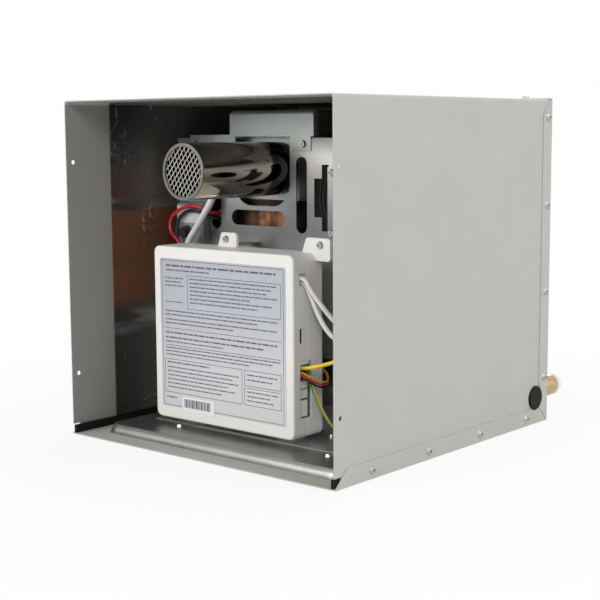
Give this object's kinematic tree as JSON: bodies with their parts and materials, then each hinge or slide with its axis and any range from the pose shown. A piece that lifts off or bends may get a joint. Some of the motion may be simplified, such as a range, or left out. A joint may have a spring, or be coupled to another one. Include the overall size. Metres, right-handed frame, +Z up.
{
  "type": "tankless water heater",
  "caption": "Box-shaped gas tankless water heater for a vehicle wall, open at the front, with flue tube, burner, blower and control box.",
  "frame": {"origin": "centre of the base's underside", "axes": "+X to the right seen from the open front, +Y to the rear where the fittings are, +Z up"},
  "size_m": [0.3248, 0.381, 0.3164],
  "materials": {
    "case_paint": "satin light grey",
    "foil": "wrinkled foil",
    "seal_rubber": "matt black",
    "tray_steel": "dark pressed steel",
    "zinc_plate": "galvanised",
    "screw_zinc": "bright zinc",
    "hood_steel": "aluminised",
    "tube_polish": "polished stainless",
    "copper": "bare copper",
    "burner_steel": "plain",
    "ceramic": "glazed",
    "valve_alloy": "cast",
    "coil_plastic": "moulded",
    "brass": "machined",
    "clear_cap": "clear",
    "sensor_plastic": "moulded",
    "turbine_plastic": "moulded",
    "blower_black": "moulded black",
    "duct_steel": "galvanised",
    "control_plastic": "off-white",
    "board_green": "laminate",
    "plug_white": "moulded",
    "label_silver": "printed foil, left without words",
    "module_black": "moulded",
    "wire_red": "insulation",
    "wire_black": "insulation",
    "wire_white": "sleeve",
    "wire_yellow": "insulation",
    "wire_green": "insulation"
  },
  "bodies": {
    "case": {"outer_wrap": "case_paint", "base_panel": "case_paint", "back_panel": "case_paint", "case_screws": "screw_zinc", "side_liners": "foil", "top_liner": "foil", "edge_seals": "seal_rubber", "hole_plug": "seal_rubber", "chassis_tray": "tray_steel", "chassis_plate": "zinc_plate", "chassis_screws": "screw_zinc", "flue_hood": "hood_steel", "exhaust_tube": "tube_polish", "exhaust_screen": "tube_polish", "exchanger_shell": "copper", "exchanger_fins": "copper", "exchanger_tube": "copper", "chamber_shell": "copper", "chamber_coil": "copper", "burner_box": "burner_steel", "burner_bars": "burner_steel", "gas_manifold": "burner_steel", "electrode_block": "ceramic", "gas_valve": "valve_alloy", "solenoid_coils": "coil_plastic", "gas_pipe": "copper", "gas_fitting": "brass", "cold_fitting": "brass", "flow_sensor": "sensor_plastic", "cold_pipe": "copper", "hot_fitting": "brass", "hot_pipe": "copper", "relief_valve": "brass", "blower_housing": "blower_black", "blower_motor": "module_black", "blower_baffle": "zinc_plate", "air_duct": "duct_steel", "control_base": "control_plastic", "control_cover": "control_plastic", "circuit_board": "board_green", "board_connectors": "plug_white", "label_plate": "label_silver", "spark_module": "module_black", "temperature_sensors": "screw_zinc", "red_lead": "wire_red", "black_lead": "wire_black", "sensor_sleeve": "wire_white", "valve_leads": "wire_white", "yellow_lead": "wire_yellow", "sense_leads": "wire_white", "ground_lead": "wire_green", "ground_lug": "screw_zinc"},
    "fan_wheel": {"blower_wheel": "blower_black"},
    "meter_turbine": {"flow_turbine": "turbine_plastic"},
    "plunger_left": {"left_plunger": "screw_zinc"},
    "plunger_right": {"right_plunger": "screw_zinc"},
    "stem": {"relief_stem": "screw_zinc"},
    "lever": {"relief_lever": "screw_zinc"},
    "cap": {"cold_cap": "clear_cap"}
  },
  "joints": [
    {"name": "wheel_spin", "type": "hinge", "parent": "case", "child": "fan_wheel", "pos_m": [0.084, -0.02, 0.224], "axis": [0, 1, 0], "continuous": true},
    {"name": "turbine_spin", "type": "hinge", "parent": "case", "child": "meter_turbine", "pos_m": [0.142, 0.112, 0.028], "axis": [0, 1, 0], "continuous": true},
    {"name": "left_plunger_lift", "type": "slide", "parent": "case", "child": "plunger_left", "axis": [0, 0, 1], "range_m": [0, 0.003], "stiffness_N_per_m": 150},
    {"name": "right_plunger_lift", "type": "slide", "parent": "case", "child": "plunger_right", "axis": [0, 0, 1], "range_m": [0, 0.003], "stiffness_N_per_m": 150},
    {"name": "stem_pull", "type": "slide", "parent": "case", "child": "stem", "axis": [0, -1, 0], "range_m": [0, 0.004]},
    {"name": "lever_lift", "type": "hinge", "parent": "stem", "child": "lever", "pos_m": [0.112, -0.093, 0.166], "axis": [1, 0, 0], "range_deg": [0, 80], "stiffness_Nm_per_rad": 0.02},
    {"name": "cap_pull", "type": "slide", "parent": "case", "child": "cap", "axis": [0, 1, 0], "range_m": [0, 0.05]}
  ],
  "couplings": [
    {"joint": "stem_pull", "follows": "lever_lift", "m_per_rad": 0.0028648}
  ]
}
